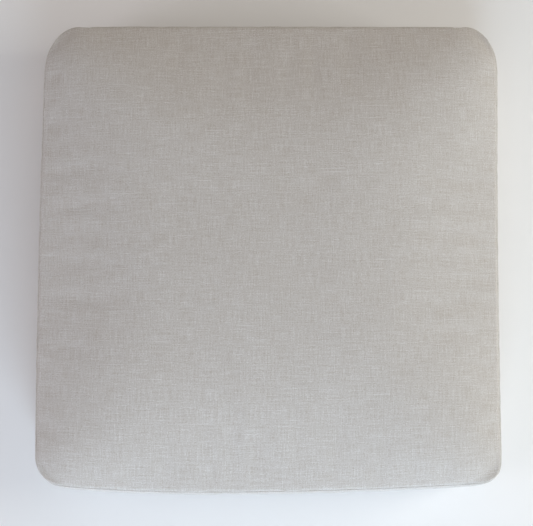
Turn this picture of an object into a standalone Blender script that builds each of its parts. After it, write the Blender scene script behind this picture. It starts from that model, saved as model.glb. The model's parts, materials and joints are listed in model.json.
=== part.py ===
"""Boxed floor cushion: a zipped cloth cover round an insert of foam, wadding and calico.

Metres, +Z up. The origin is under the middle of the cushion, on the floor. +X is the cushion's right,
and +Y is its back, where the zip is.
"""

from math import copysign, cos, pi, sin

import bmesh
import bpy
from mathutils import Matrix

# Cover
SIDE = 0.600  # width and depth, over the boxing
CORNER_RADIUS = 0.050
BOTTOM_RISE = 0.010  # how far the bottom panel curls up from the floor to its seam
BOXING_HEIGHT = 0.110
TOP_CROWN = 0.030
CLOTH = 0.0012
SEAM_ALLOWANCE = 0.012
SEWN_GAP = 0.0005  # clearance between layers that are sewn or laid together

# Insert
INSERT_SIDE = 0.590
INSERT_DROP = 0.003  # top and bottom of the insert, inside the cover's
CALICO = 0.0005
WADDING = 0.012

# Zip
ZIP_LENGTH = 0.490  # of the boxing strips that hold it
FOLD_GAP = 0.012  # between the strips' folded edges
TAPE_BEHIND = 0.0004  # from the strips' inner faces to the tapes
TAPE_LENGTH = 0.498
TAPE_WIDTH = 0.0138
TAPE = 0.0006
TAPE_SET_BACK = 0.0001  # of a tape's inner edge from its coil's
COIL_STAND_OFF = 0.0003  # from the tapes' outer faces to the coils
COIL_LENGTH = 0.466
COIL_WIDTH = 0.0024
COIL_THICKNESS = 0.0020
ROW_GAP = 0.0012  # between the two coils, where the slider's wedge passes
RUNNING_GAP = 0.00035
PARKING_GAP = 0.0005  # from the closed slider to the coils' ends

SLIDER_LENGTH = 0.011
SLIDER_WIDTH = 0.0086
PLATE = 0.0011
FLANGE = 0.0008
WEDGE = 0.0005
WEDGE_LENGTH = 0.0045
BRIDGE_LENGTH = 0.0056
BRIDGE_WIDTH = 0.0022
BRIDGE_WALL = 0.0009
TAB_LENGTH = 0.026
TAB_WIDTH = 0.0058
TAB_THICKNESS = 0.0010
TAB_PLAY = 0.0001  # extra room for the tab over the slider's plate
TAB_WINDOW = (0.0036, 0.0030)  # length and width of the hole that the bridge stands in
STOP_LENGTH = 0.0032

# Care label
LABEL = (0.045, 0.0004, 0.030)
LABEL_FROM_END = 0.060  # from the zip's left end
LABEL_BEHIND = 0.0006  # from the tapes' inner faces

# Mesh: cells along each side of a panel, and rows up a strip
PANEL_CELLS = 12

TOP_SEAM_Z = BOTTOM_RISE + BOXING_HEIGHT
ZIP_Z = BOTTOM_RISE + BOXING_HEIGHT / 2
ZIP_FACE_Y = SIDE / 2
TAPE_Y = ZIP_FACE_Y - CLOTH - TAPE_BEHIND - TAPE  # inner face of the tapes
COIL_Y = TAPE_Y + TAPE + COIL_STAND_OFF
COIL_TOP_Y = COIL_Y + COIL_THICKNESS
PLATE_Y = COIL_TOP_Y + RUNNING_GAP  # inner face of the slider's outer plate
PIVOT_Y = PLATE_Y + PLATE + RUNNING_GAP + TAB_THICKNESS / 2 + TAB_PLAY
SLIDER_X = COIL_LENGTH / 2 - SLIDER_LENGTH / 2 - PARKING_GAP


def clear_scene():
    for old in list(bpy.data.objects):
        bpy.data.objects.remove(old, do_unlink=True)


def new_collection(name):
    made = bpy.data.collections.new(name)
    bpy.context.scene.collection.children.link(made)
    return made


def material(name, colour, roughness, metallic=0.0):
    made = bpy.data.materials.new(name)
    made.use_nodes = True
    shader = made.node_tree.nodes["Principled BSDF"]
    shader.inputs["Base Color"].default_value = (*colour, 1)
    shader.inputs["Roughness"].default_value = roughness
    shader.inputs["Metallic"].default_value = metallic
    made.diffuse_color = (*colour, 1)
    return made


def add_object(name, mesh, finish, group):
    made = bpy.data.objects.new(name, mesh)
    made.data.materials.append(finish)
    group.objects.link(made)
    return made


# The cushion's form


def on_rounded_square(u, v, side, radius):
    """Where a point of the square from -1 to 1 lands when the square's rings become rounded squares."""
    ring = max(abs(u), abs(v))
    if ring == 0:
        return 0.0, 0.0
    along = min(abs(u), abs(v)) / ring
    straight = side / 2 - radius
    if along <= 0.5:
        across, run = side / 2, 2 * along * straight
    else:
        angle = (along - 0.5) * pi / 2
        across, run = straight + radius * cos(angle), straight + radius * sin(angle)
    x, y = (across, run) if abs(u) >= abs(v) else (run, across)
    spread = sin(ring * pi / 2)
    return copysign(x * spread, u), copysign(y * spread, v)


def crown(ring):
    """Height of the crowned top over its seam, as a share of the crown, from the middle (0) to the seam (1)."""
    return (1 - sin(ring * pi / 2) ** 3) ** 0.75


def underside(ring):
    """Height of the curled-up edge of the underside, as a share of its rise: the middle lies flat."""
    flat = 0.6
    return max(0.0, (sin(ring * pi / 2) - flat) / (1 - flat)) ** 2


def tray_mesh(name, side, radius, height_at, wall):
    """An open tray: a crowned panel with a wall turned down (or up, where wall is positive) at its edge."""
    mesh = bpy.data.meshes.new(name)
    form = bmesh.new()
    bmesh.ops.create_grid(form, x_segments=PANEL_CELLS, y_segments=PANEL_CELLS, size=1)
    for point in form.verts:
        u, v, _ = point.co
        x, y = on_rounded_square(u, v, side, radius)
        point.co = (x, y, height_at(max(abs(u), abs(v))))
    rim = [edge for edge in form.edges if edge.is_boundary]
    turned = bmesh.ops.extrude_edge_only(form, edges=rim)["geom"]
    edge_points = [point for point in turned if isinstance(point, bmesh.types.BMVert)]
    bmesh.ops.translate(form, vec=(0, 0, wall), verts=edge_points)
    bmesh.ops.recalc_face_normals(form, faces=form.faces)
    form.faces.ensure_lookup_table()
    middle = min(form.faces, key=lambda face: face.calc_center_median().xy.length)
    if middle.normal.z * wall > 0:
        bmesh.ops.reverse_faces(form, faces=form.faces)
    form.to_mesh(mesh)
    form.free()
    return mesh


def add_tray(name, side, radius, height_at, wall, thickness, finish, group):
    tray = add_object(name, tray_mesh(name, side, radius, height_at, wall), finish, group)
    shell = tray.modifiers.new("Thickness", "SOLIDIFY")
    shell.thickness = thickness
    shell.offset = -1
    shell.use_even_offset = True
    tray.data.shade_smooth()
    tray.data.set_sharp_from_angle(angle=pi / 5)
    return tray


# Solid blocks


def add_block(name, low, high, finish, group):
    size = [b - a for a, b in zip(low, high)]
    middle = [(a + b) / 2 for a, b in zip(low, high)]
    mesh = bpy.data.meshes.new(name)
    form = bmesh.new()
    bmesh.ops.create_cube(form, size=1, matrix=Matrix.Diagonal((*size, 1)))
    form.to_mesh(mesh)
    form.free()
    block = add_object(name, mesh, finish, group)
    block.location = middle
    return block


def add_cutter(name, low, high):
    block = add_block(name, low, high, CUTTER_FINISH, CUTTERS)
    block.hide_render = True
    block.display_type = "WIRE"
    return block


def combine(target, other, how):
    step = target.modifiers.new(other.name, "BOOLEAN")
    step.object = other
    step.operation = how
    step.solver = "EXACT"


def round_edges(target, width, segments=2):
    edge = target.modifiers.new("Rounded edges", "BEVEL")
    edge.width = width
    edge.segments = segments
    edge.limit_method = "ANGLE"
    edge.angle_limit = pi / 6


# The cover


def panel_side():
    return SIDE - 2 * (CLOTH + SEWN_GAP)


def add_panels():
    side = panel_side()
    radius = CORNER_RADIUS - CLOTH - SEWN_GAP
    add_tray(
        "top_panel",
        side,
        radius,
        lambda ring: TOP_SEAM_Z + TOP_CROWN * crown(ring),
        -SEAM_ALLOWANCE,
        CLOTH,
        COVER_CLOTH,
        PARTS,
    )
    add_tray(
        "bottom_panel",
        side,
        radius,
        lambda ring: BOTTOM_RISE * underside(ring),
        SEAM_ALLOWANCE,
        CLOTH,
        COVER_CLOTH,
        PARTS,
    )


def boxing_outline():
    """Points round the cushion's outline, from the zip's right end by the front to its left end."""
    straight = SIDE / 2 - CORNER_RADIUS
    corners = [
        (straight, straight, 90),
        (straight, -straight, 0),
        (-straight, -straight, -90),
        (-straight, straight, -180),
    ]
    steps = PANEL_CELLS // 2
    zip_end = ZIP_LENGTH / 2 + SEWN_GAP
    points = [(zip_end, SIDE / 2)]
    for x, y, start in corners:
        for step in range(steps + 1):
            angle = (start - 90 * step / steps) * pi / 180
            points.append((x + CORNER_RADIUS * cos(angle), y + CORNER_RADIUS * sin(angle)))
    points.append((-zip_end, SIDE / 2))
    return points


def add_boxing():
    mesh = bpy.data.meshes.new("main_boxing")
    form = bmesh.new()
    row = [form.verts.new((x, y, BOTTOM_RISE)) for x, y in boxing_outline()]
    edges = [form.edges.new(pair) for pair in zip(row, row[1:])]
    raised = bmesh.ops.extrude_edge_only(form, edges=edges)["geom"]
    top_row = [point for point in raised if isinstance(point, bmesh.types.BMVert)]
    bmesh.ops.translate(form, vec=(0, 0, BOXING_HEIGHT), verts=top_row)
    bmesh.ops.recalc_face_normals(form, faces=form.faces)
    form.faces.ensure_lookup_table()
    front = min(form.faces, key=lambda face: face.calc_center_median().y)
    if front.normal.y > 0:
        bmesh.ops.reverse_faces(form, faces=form.faces)
    form.to_mesh(mesh)
    form.free()
    boxing = add_object("main_boxing", mesh, COVER_CLOTH, PARTS)
    shell = boxing.modifiers.new("Thickness", "SOLIDIFY")
    shell.thickness = CLOTH
    shell.offset = -1
    shell.use_even_offset = True
    boxing.data.shade_smooth()
    boxing.data.set_sharp_from_angle(angle=pi / 5)


def add_zip_boxing():
    """The two strips along the back, their folded edges facing each other over the zip."""
    half = ZIP_LENGTH / 2
    inner = ZIP_FACE_Y - CLOTH
    add_block(
        "zip_boxing_upper",
        (-half, inner, ZIP_Z + FOLD_GAP / 2),
        (half, ZIP_FACE_Y, TOP_SEAM_Z),
        COVER_CLOTH,
        PARTS,
    )
    add_block(
        "zip_boxing_lower",
        (-half, inner, BOTTOM_RISE),
        (half, ZIP_FACE_Y, ZIP_Z - FOLD_GAP / 2),
        COVER_CLOTH,
        PARTS,
    )


# The zip


def across_zip(near, far, up):
    """The two heights of a piece that lies from near to far off the zip's middle, above it or below."""
    return (ZIP_Z + near, ZIP_Z + far) if up else (ZIP_Z - far, ZIP_Z - near)


def add_zip_row(which, up):
    """One half of the zip: a tape, the coil sewn along its edge, and the stop crimped over its end."""
    edge = ROW_GAP / 2
    low, high = across_zip(edge + TAPE_SET_BACK, edge + TAPE_WIDTH, up)
    add_block(
        "zip_tape_" + which,
        (-TAPE_LENGTH / 2, TAPE_Y, low),
        (TAPE_LENGTH / 2, TAPE_Y + TAPE, high),
        TAPE_CLOTH,
        PARTS,
    )
    low, high = across_zip(edge, edge + COIL_WIDTH, up)
    add_block(
        "zip_coil_" + which,
        (-COIL_LENGTH / 2, COIL_Y, low),
        (COIL_LENGTH / 2, COIL_TOP_Y, high),
        COIL_NYLON,
        PARTS,
    )
    start = COIL_LENGTH / 2 + SEWN_GAP
    low, high = across_zip(-RUNNING_GAP / 2 + edge / 2, edge + COIL_WIDTH, up)
    stop = add_block(
        "zip_top_stop_" + which,
        (start, TAPE_Y - PLATE, low),
        (start + STOP_LENGTH, COIL_TOP_Y, high),
        ZIP_METAL,
        PARTS,
    )
    low, high = across_zip(edge - RUNNING_GAP / 2, TAPE_WIDTH, up)
    slot = add_cutter(
        "top_stop_slot_" + which,
        (start - STOP_LENGTH, TAPE_Y - RUNNING_GAP, low),
        (start + 2 * STOP_LENGTH, TAPE_Y + TAPE + RUNNING_GAP, high),
    )
    combine(stop, slot, "DIFFERENCE")


def add_bottom_stop():
    """A crimp over both coils at the open end, with its middle between the tapes."""
    end = -COIL_LENGTH / 2 - SEWN_GAP
    reach = ROW_GAP / 2 + COIL_WIDTH
    stop = add_block(
        "zip_bottom_stop",
        (end - STOP_LENGTH, TAPE_Y - PLATE, ZIP_Z - reach),
        (end, COIL_TOP_Y, ZIP_Z + reach),
        ZIP_METAL,
        PARTS,
    )
    for which, up in (("upper", True), ("lower", False)):
        low, high = across_zip(ROW_GAP / 2 - RUNNING_GAP, TAPE_WIDTH, up)
        slot = add_cutter(
            "bottom_stop_slot_" + which,
            (end - 2 * STOP_LENGTH, TAPE_Y - RUNNING_GAP, low),
            (end + STOP_LENGTH, TAPE_Y + TAPE + RUNNING_GAP, high),
        )
        combine(stop, slot, "DIFFERENCE")


def add_slider():
    """Outer and inner plates joined by the wedge, side flanges, and the bridge that carries the tab."""
    back, front = SLIDER_X - SLIDER_LENGTH / 2, SLIDER_X + SLIDER_LENGTH / 2
    low, high = ZIP_Z - SLIDER_WIDTH / 2, ZIP_Z + SLIDER_WIDTH / 2
    inner_y = TAPE_Y - RUNNING_GAP - PLATE
    slider = add_block("zip_slider", (back, inner_y, low), (front, PLATE_Y + PLATE, high), ZIP_METAL, PARTS)
    channel_half = SLIDER_WIDTH / 2 - FLANGE
    wedge_back = front - WEDGE_LENGTH
    beyond = SLIDER_LENGTH
    tape_low, tape_high = TAPE_Y - RUNNING_GAP, TAPE_Y + TAPE + RUNNING_GAP
    cuts = [("throat", (back - beyond, tape_low, ZIP_Z - channel_half), (wedge_back, PLATE_Y, ZIP_Z + channel_half))]
    for which, up in (("upper", True), ("lower", False)):
        near, far = across_zip(WEDGE / 2, channel_half, up)
        cuts.append(("mouth_" + which, (wedge_back - beyond, tape_low, near), (front + beyond, PLATE_Y, far)))
        near, far = across_zip(WEDGE / 2, SLIDER_WIDTH, up)
        cuts.append(("tape_slit_" + which, (back - beyond, tape_low, near), (front + beyond, tape_high, far)))
    for name, start, end in cuts:
        combine(slider, add_cutter("slider_" + name, start, end), "DIFFERENCE")

    bridge_top = PIVOT_Y + (PIVOT_Y - PLATE_Y - PLATE) + BRIDGE_WALL
    half_length, half_width = BRIDGE_LENGTH / 2, BRIDGE_WIDTH / 2
    bridge = add_cutter(
        "slider_bridge",
        (SLIDER_X - half_length, PLATE_Y + PLATE / 2, ZIP_Z - half_width),
        (SLIDER_X + half_length, bridge_top, ZIP_Z + half_width),
    )
    eye = add_cutter(
        "slider_bridge_eye",
        (SLIDER_X - half_length + BRIDGE_WALL, PLATE_Y + PLATE, ZIP_Z - BRIDGE_WIDTH),
        (SLIDER_X + half_length - BRIDGE_WALL, bridge_top - BRIDGE_WALL, ZIP_Z + BRIDGE_WIDTH),
    )
    combine(slider, bridge, "UNION")
    combine(slider, eye, "DIFFERENCE")


def add_pull_tab():
    """A flat tab with a window at its head. Its origin is on the hinge's axis, in the window's end bar."""
    outline = bpy.data.curves.new("zip_pull_tab", "CURVE")
    outline.dimensions = "2D"
    outline.fill_mode = "BOTH"
    outline.extrude = TAB_THICKNESS / 2
    half = TAB_WIDTH / 2
    bar = TAB_THICKNESS / 2
    tail = TAB_LENGTH - bar - half
    arc = 8
    points = [(-bar, -half), (-bar, half)]
    for step in range(arc + 1):
        angle = pi / 2 - pi * step / arc
        points.append((tail + half * cos(angle), half * sin(angle)))
    add_outline(outline, points)
    length, width = TAB_WINDOW
    add_outline(
        outline,
        [(bar, -width / 2), (bar + length, -width / 2), (bar + length, width / 2), (bar, width / 2)],
    )
    tab = add_object("zip_pull_tab", outline, ZIP_METAL, PARTS)
    tab.location = (SLIDER_X, PIVOT_Y, ZIP_Z)
    # the tab lies flat along the zip, towards its closed length
    tab.rotation_euler = (pi / 2, 0, pi)


def add_outline(curve, points):
    ring = curve.splines.new("POLY")
    ring.points.add(len(points) - 1)
    for point, (x, y) in zip(ring.points, points):
        point.co = (x, y, 0, 1)
    ring.use_cyclic_u = True


# The insert


def add_insert():
    radius = CORNER_RADIUS - (SIDE - INSERT_SIDE) / 2
    middle = ZIP_Z
    top_edge = TOP_SEAM_Z - INSERT_DROP
    bottom = INSERT_DROP

    def top_at(drop):
        return lambda ring: top_edge - drop + TOP_CROWN * crown(ring)

    def bottom_at(lift):
        return lambda ring: bottom + lift + BOTTOM_RISE * underside(ring)

    def wall_to_middle(height_at):
        return middle - height_at(1.0)

    for which, height_at, gap in (("upper", top_at(0), SEWN_GAP / 2), ("lower", bottom_at(0), -SEWN_GAP / 2)):
        wall = wall_to_middle(height_at) + gap
        add_tray("liner_" + which, INSERT_SIDE, radius, height_at, wall, CALICO, CALICO_CLOTH, PARTS)

    shrink = CALICO + SEWN_GAP
    side = INSERT_SIDE - 2 * shrink
    radius -= shrink
    for which, height_at, gap in (
        ("top", top_at(shrink), SEWN_GAP / 2),
        ("bottom", bottom_at(shrink), -SEWN_GAP / 2),
    ):
        wall = wall_to_middle(height_at) + gap
        add_tray("wadding_" + which, side, radius, height_at, wall, WADDING, WADDING_FLEECE, PARTS)

    inset = WADDING + SEWN_GAP
    shrink += inset
    side -= 2 * inset
    radius -= inset
    height_at = top_at(shrink + SEWN_GAP)
    floor_of_foam = bottom + shrink + BOTTOM_RISE + SEWN_GAP
    mesh = tray_mesh("foam_core", side, radius, height_at, floor_of_foam - height_at(1.0))
    form = bmesh.new()
    form.from_mesh(mesh)
    bmesh.ops.holes_fill(form, edges=[edge for edge in form.edges if edge.is_boundary])
    bmesh.ops.recalc_face_normals(form, faces=form.faces)
    form.to_mesh(mesh)
    form.free()
    add_object("foam_core", mesh, FOAM, PARTS)


def add_care_label():
    """A blank woven label, hanging inside the cover from the lower zip strip's seam."""
    length, thickness, height = LABEL
    left = -ZIP_LENGTH / 2 + LABEL_FROM_END
    outer = TAPE_Y - LABEL_BEHIND
    low = BOTTOM_RISE + SEAM_ALLOWANCE + SEWN_GAP
    add_block(
        "care_label",
        (left, outer - thickness, low),
        (left + length, outer, low + height),
        LABEL_SATIN,
        PARTS,
    )


clear_scene()
PARTS = new_collection("floor_cushion")
CUTTERS = new_collection("cutters")
COVER_CLOTH = material("cover_cloth", (0.56, 0.52, 0.47), 0.9)
TAPE_CLOTH = material("zip_tape_cloth", (0.50, 0.46, 0.41), 0.85)
COIL_NYLON = material("zip_coil_nylon", (0.58, 0.54, 0.48), 0.45)
ZIP_METAL = material("zip_metal", (0.60, 0.58, 0.54), 0.35, metallic=1.0)
CALICO_CLOTH = material("liner_calico", (0.74, 0.69, 0.60), 0.9)
WADDING_FLEECE = material("wadding_fleece", (0.86, 0.86, 0.85), 1.0)
FOAM = material("core_foam", (0.82, 0.74, 0.52), 0.95)
LABEL_SATIN = material("label_satin", (0.88, 0.87, 0.84), 0.5)
CUTTER_FINISH = material("cutter", (0.8, 0.2, 0.1), 0.5)

add_panels()
add_boxing()
add_zip_boxing()
add_zip_row("upper", True)
add_zip_row("lower", False)
add_bottom_stop()
add_slider()
add_pull_tab()
add_insert()
add_care_label()
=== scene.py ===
"""Looks of a boxed floor cushion: slub linen cover, filled and sewn, with a coil zip along its back."""

import json
from math import copysign, cos, exp, pi, radians, sin, sqrt, tanh

import bmesh
import bpy
from mathutils import Matrix, Vector, noise
from mathutils.bvhtree import BVHTree


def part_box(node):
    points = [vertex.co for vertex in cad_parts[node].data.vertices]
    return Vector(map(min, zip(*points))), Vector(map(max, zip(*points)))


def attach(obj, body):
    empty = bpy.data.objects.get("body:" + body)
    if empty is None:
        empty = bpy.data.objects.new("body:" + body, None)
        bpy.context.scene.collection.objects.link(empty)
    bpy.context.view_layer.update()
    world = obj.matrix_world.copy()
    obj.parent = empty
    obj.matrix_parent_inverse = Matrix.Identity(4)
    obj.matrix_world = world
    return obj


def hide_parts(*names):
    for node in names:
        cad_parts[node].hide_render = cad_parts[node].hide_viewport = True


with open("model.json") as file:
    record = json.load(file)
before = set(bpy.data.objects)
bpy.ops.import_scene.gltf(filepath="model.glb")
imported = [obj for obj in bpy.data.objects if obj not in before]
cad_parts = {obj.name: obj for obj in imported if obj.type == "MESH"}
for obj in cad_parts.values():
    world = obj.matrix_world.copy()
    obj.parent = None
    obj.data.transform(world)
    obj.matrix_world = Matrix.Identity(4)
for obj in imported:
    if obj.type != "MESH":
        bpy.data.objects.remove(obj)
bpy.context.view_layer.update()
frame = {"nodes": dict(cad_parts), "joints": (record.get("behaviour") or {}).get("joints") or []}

# Foam core. A block of open-cell upholstery foam, cut to a crowned slab a little under the case's size.
# It gives the cushion its spring, and nothing fixes it: the wadding round it holds it in place.

FOAM_CREAM = (0.80, 0.72, 0.50, 1)
FOAM_SHADE = (0.62, 0.52, 0.30, 1)
FOAM_CELL = 0.0011
FOAM_PIT = 0.0003
FOAM_PATCH = 0.09
TOP_GIVE = 0.0022  # how far the tight cover presses the stuffing down
CORNER_GIVE = 0.012  # and how much further at its four corners
PRESSED_FROM, PRESSED_OVER = 0.08, 0.04  # the height where that begins, and the rise over which it grows
SIDE_GIVE = 0.026  # share by which the stuffing is squeezed in at its sides
WELD = 0.00002


def into_scene(name, data):
    made = bpy.data.objects.new(name, data)
    bpy.context.scene.collection.objects.link(made)
    return made


def as_mesh(form, name):
    """The worked form, put away as a mesh of that name."""
    mesh = bpy.data.meshes.new(name)
    form.to_mesh(mesh)
    form.free()
    return mesh


def new_finish(name):
    """A material, its node tree and its shader."""
    made = bpy.data.materials.new(name)
    made.use_nodes = True
    return made, made.node_tree, made.node_tree.nodes["Principled BSDF"]


def feed(tree, socket, value):
    """Links value to the socket if it comes from a node, and types it in if it is a number or a colour."""
    if isinstance(value, bpy.types.NodeSocket):
        tree.links.new(value, socket)
    else:
        socket.default_value = value


def place_of(tree):
    """The point on the piece, in metres."""
    return tree.nodes.new("ShaderNodeTexCoord").outputs["Object"]


def stretched(tree, place, sizes):
    """The point counted in features that measure sizes across, along X, Y and Z."""
    node = tree.nodes.new("ShaderNodeVectorMath")
    node.operation = "DIVIDE"
    feed(tree, node.inputs[0], place)
    node.inputs[1].default_value = sizes
    return node.outputs[0]


def mottle(tree, place, sizes, detail=2.0, roughness=0.5):
    """Soft random blotches from 0 to 1, of about that size."""
    node = tree.nodes.new("ShaderNodeTexNoise")
    feed(tree, node.inputs["Vector"], stretched(tree, place, sizes))
    node.inputs["Scale"].default_value = 1.0
    node.inputs["Detail"].default_value = detail
    node.inputs["Roughness"].default_value = roughness
    return node.outputs[0]


def between(tree, value, low, high, to_low=0.0, to_high=1.0):
    """Carries low to high onto to_low to to_high, smoothly, and stops at the ends."""
    node = tree.nodes.new("ShaderNodeMapRange")
    node.interpolation_type = "SMOOTHSTEP"
    feed(tree, node.inputs["Value"], value)
    for name, number in (("From Min", low), ("From Max", high), ("To Min", to_low), ("To Max", to_high)):
        node.inputs[name].default_value = number
    return node.outputs[0]


def calc(tree, operation, first, second=0.0):
    node = tree.nodes.new("ShaderNodeMath")
    node.operation = operation
    feed(tree, node.inputs[0], first)
    feed(tree, node.inputs[1], second)
    return node.outputs[0]


def tinted(tree, share, first, second):
    """A colour that goes from first to second as share goes from 0 to 1."""
    node = tree.nodes.new("ShaderNodeMix")
    node.data_type = "RGBA"
    feed(tree, node.inputs[0], share)
    feed(tree, node.inputs[6], first)
    feed(tree, node.inputs[7], second)
    return node.outputs[2]


def raised(tree, shader, height, depth):
    """Relief on the surface, depth metres from lowest to highest."""
    node = tree.nodes.new("ShaderNodeBump")
    node.inputs["Strength"].default_value = 1.0
    node.inputs["Distance"].default_value = depth
    feed(tree, node.inputs["Height"], height)
    tree.links.new(node.outputs[0], shader.inputs["Normal"])


def foam_finish():
    made, tree, shader = new_finish("upholstery_foam")
    place = place_of(tree)
    cells = tree.nodes.new("ShaderNodeTexVoronoi")
    feed(tree, cells.inputs["Vector"], stretched(tree, place, (FOAM_CELL,) * 3))
    cells.inputs["Scale"].default_value = 1.0
    pit_depth_and_shade = between(tree, cells.outputs["Distance"], 0.1, 0.6)
    drift = between(tree, mottle(tree, place, (FOAM_PATCH,) * 3), 0.3, 0.7, 0.0, 0.35)
    cream = tinted(tree, drift, FOAM_CREAM, FOAM_SHADE)
    # The low hollows between the foam's cells are darkened towards FOAM_SHADE: painted shade in the hollows.
    # The drift varies the cream at random.
    colour = tinted(tree, calc(tree, "MULTIPLY", pit_depth_and_shade, 0.4), cream, FOAM_SHADE)
    feed(tree, shader.inputs["Base Color"], colour)
    shader.inputs["Roughness"].default_value = 0.95
    raised(tree, shader, calc(tree, "SUBTRACT", 1.0, pit_depth_and_shade), FOAM_PIT)
    return made


def softened(node_name, piece_name, finish, slot_name, lumps, lump_size):
    """A finer copy of a layer of the insert: welded, rounded off and a little lumpy."""
    mesh = frame["nodes"][node_name].data.copy()
    form = bmesh.new()
    form.from_mesh(mesh)
    bmesh.ops.remove_doubles(form, verts=form.verts, dist=WELD)
    form.to_mesh(mesh)
    form.free()
    piece = into_scene(piece_name, mesh)
    rounding = piece.modifiers.new("Rounding", "SUBSURF")
    rounding.subdivision_type = "SIMPLE"
    rounding.levels = rounding.render_levels = 2
    settle(piece)
    ways = [point.normal.copy() for point in piece.data.vertices]
    reach = frame["nodes"]["liner_upper"].dimensions.x / 2
    for point, way in zip(piece.data.vertices, ways):
        corner = (point.co.x / reach) ** 4 * (point.co.y / reach) ** 4
        pressed = max(0.0, point.co.z - PRESSED_FROM) / PRESSED_OVER
        point.co.z -= (TOP_GIVE + CORNER_GIVE * corner) * pressed
        point.co += way * noise.noise(point.co / lump_size) * lumps
        point.co.x *= 1 - SIDE_GIVE
        point.co.y *= 1 - SIDE_GIVE
    finish_with(piece, finish)
    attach(piece, "cushion")
    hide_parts(node_name)
    return piece


def settle(piece):
    """Makes the piece's modifiers part of its mesh."""
    bpy.context.view_layer.update()
    shaped = piece.evaluated_get(bpy.context.evaluated_depsgraph_get())
    depsgraph = bpy.context.evaluated_depsgraph_get()
    mesh = bpy.data.meshes.new_from_object(shaped, preserve_all_data_layers=True, depsgraph=depsgraph)
    piece.modifiers.clear()
    piece.data = mesh


def finish_with(piece, finish):
    piece.data.materials.clear()
    piece.data.materials.append(finish)
    piece.data.shade_smooth()


foam = softened("foam_core", "foam_block", foam_finish(), "core_foam", lumps=0.0002, lump_size=0.02)

# Wadding. Bonded polyester fleece, laid over and under the foam and down its sides to fill the case out.
# It is glued lightly at the edges, and its loft rounds off the foam's cut corners.

FLEECE_WHITE = (0.86, 0.86, 0.85, 1)
FLEECE_SHADE = (0.66, 0.67, 0.68, 1)
FIBRES_ALONG, FIBRES_ACROSS = (0.0006, 0.008, 0.002), (0.009, 0.0007, 0.002)
CLUMP = 0.02
FLEECE_NAP = 0.0006


def fleece_finish():
    made, tree, shader = new_finish("polyester_fleece")
    place = place_of(tree)
    fibres = mottle(tree, place, FIBRES_ALONG, 4.0, 0.7)
    crossed = mottle(tree, place, FIBRES_ACROSS, 4.0, 0.7)
    tangle = calc(tree, "MAXIMUM", fibres, crossed)
    clumps = mottle(tree, place, (CLUMP,) * 3, 3.0)
    # Greyer between the raised fibres, where tangle is low: painted shade between the fibres. The clumps
    # vary it at random.
    shade = between(tree, calc(tree, "MULTIPLY", tangle, clumps), 0.18, 0.42)
    feed(tree, shader.inputs["Base Color"], tinted(tree, shade, FLEECE_SHADE, FLEECE_WHITE))
    shader.inputs["Roughness"].default_value = 1.0
    shader.inputs["Sheen Weight"].default_value = 0.4
    raised(tree, shader, tangle, FLEECE_NAP)
    return made


FLEECE = fleece_finish()
for half in ("top", "bottom"):
    names = "wadding_" + half, "fleece_" + half
    layer = softened(*names, FLEECE, "wadding_fleece", lumps=0.0002, lump_size=0.012)

# Calico case. Two halves of unbleached cotton, seamed together round the middle of the sides.
# It keeps the foam and wadding in one piece when the cover is taken off for washing.

CALICO_THREAD = 0.0005
CALICO_WARP = (0.72, 0.66, 0.55, 1)
CALICO_WEFT = (0.78, 0.72, 0.61, 1)
CALICO_SEED = (0.40, 0.30, 0.18, 1)
SEED_SIZE = (0.0016, 0.0009, 0.002)
CALICO_RELIEF = 0.0001


def plain_weave(tree, across, along, thread):
    """Over-and-under of single threads: the height of the cloth, and where the lengthwise one is on top."""
    threads = []
    for run in (across, along):
        wave = calc(tree, "SINE", calc(tree, "MULTIPLY", run, pi / thread))
        threads.append((wave, calc(tree, "SQRT", calc(tree, "ABSOLUTE", wave)), calc(tree, "SIGN", wave)))
    (wave_across, round_warp, warp_turn), (wave_along, round_weft, weft_turn) = threads
    rise_warp = between(tree, calc(tree, "MULTIPLY", wave_along, warp_turn), -1.0, 1.0)
    rise_weft = between(tree, calc(tree, "MULTIPLY", wave_across, weft_turn), 1.0, -1.0)
    warp = calc(tree, "MULTIPLY", round_warp, rise_warp)
    weft = calc(tree, "MULTIPLY", round_weft, rise_weft)
    return calc(tree, "MAXIMUM", warp, weft), between(tree, calc(tree, "SUBTRACT", warp, weft), -0.1, 0.1)


def run_of(tree, place):
    """The two directions of the cloth, across it and along it, in metres."""
    parts = tree.nodes.new("ShaderNodeSeparateXYZ")
    feed(tree, parts.inputs[0], place)
    return parts.outputs[0], parts.outputs[1]


def calico_finish():
    made, tree, shader = new_finish("unbleached_calico")
    place = place_of(tree)
    across, along = run_of(tree, place)
    bumps, warp_up = plain_weave(tree, across, along, CALICO_THREAD)
    cloth = tinted(tree, warp_up, CALICO_WEFT, CALICO_WARP)
    seeds = between(tree, mottle(tree, place, SEED_SIZE), 0.72, 0.80)
    feed(tree, shader.inputs["Base Color"], tinted(tree, seeds, cloth, CALICO_SEED))
    shader.inputs["Roughness"].default_value = 0.9
    raised(tree, shader, bumps, CALICO_RELIEF)
    return made


CALICO = calico_finish()
for half in ("upper", "lower"):
    names = "liner_" + half, "calico_case_" + half
    layer = softened(*names, CALICO, "liner_calico", lumps=0.0001, lump_size=0.03)

# Cover, cut and filled. The cover is two square panels with rounded corners and a boxing strip between.
# Its cloth is laid out to its sewn shape first, then the filling swells it against its seams.

top_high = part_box("top_panel")[1]
strip_low, strip_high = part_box("zip_boxing_upper")
lower_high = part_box("zip_boxing_lower")[1]
cover_low, cover_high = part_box("main_boxing")

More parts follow.
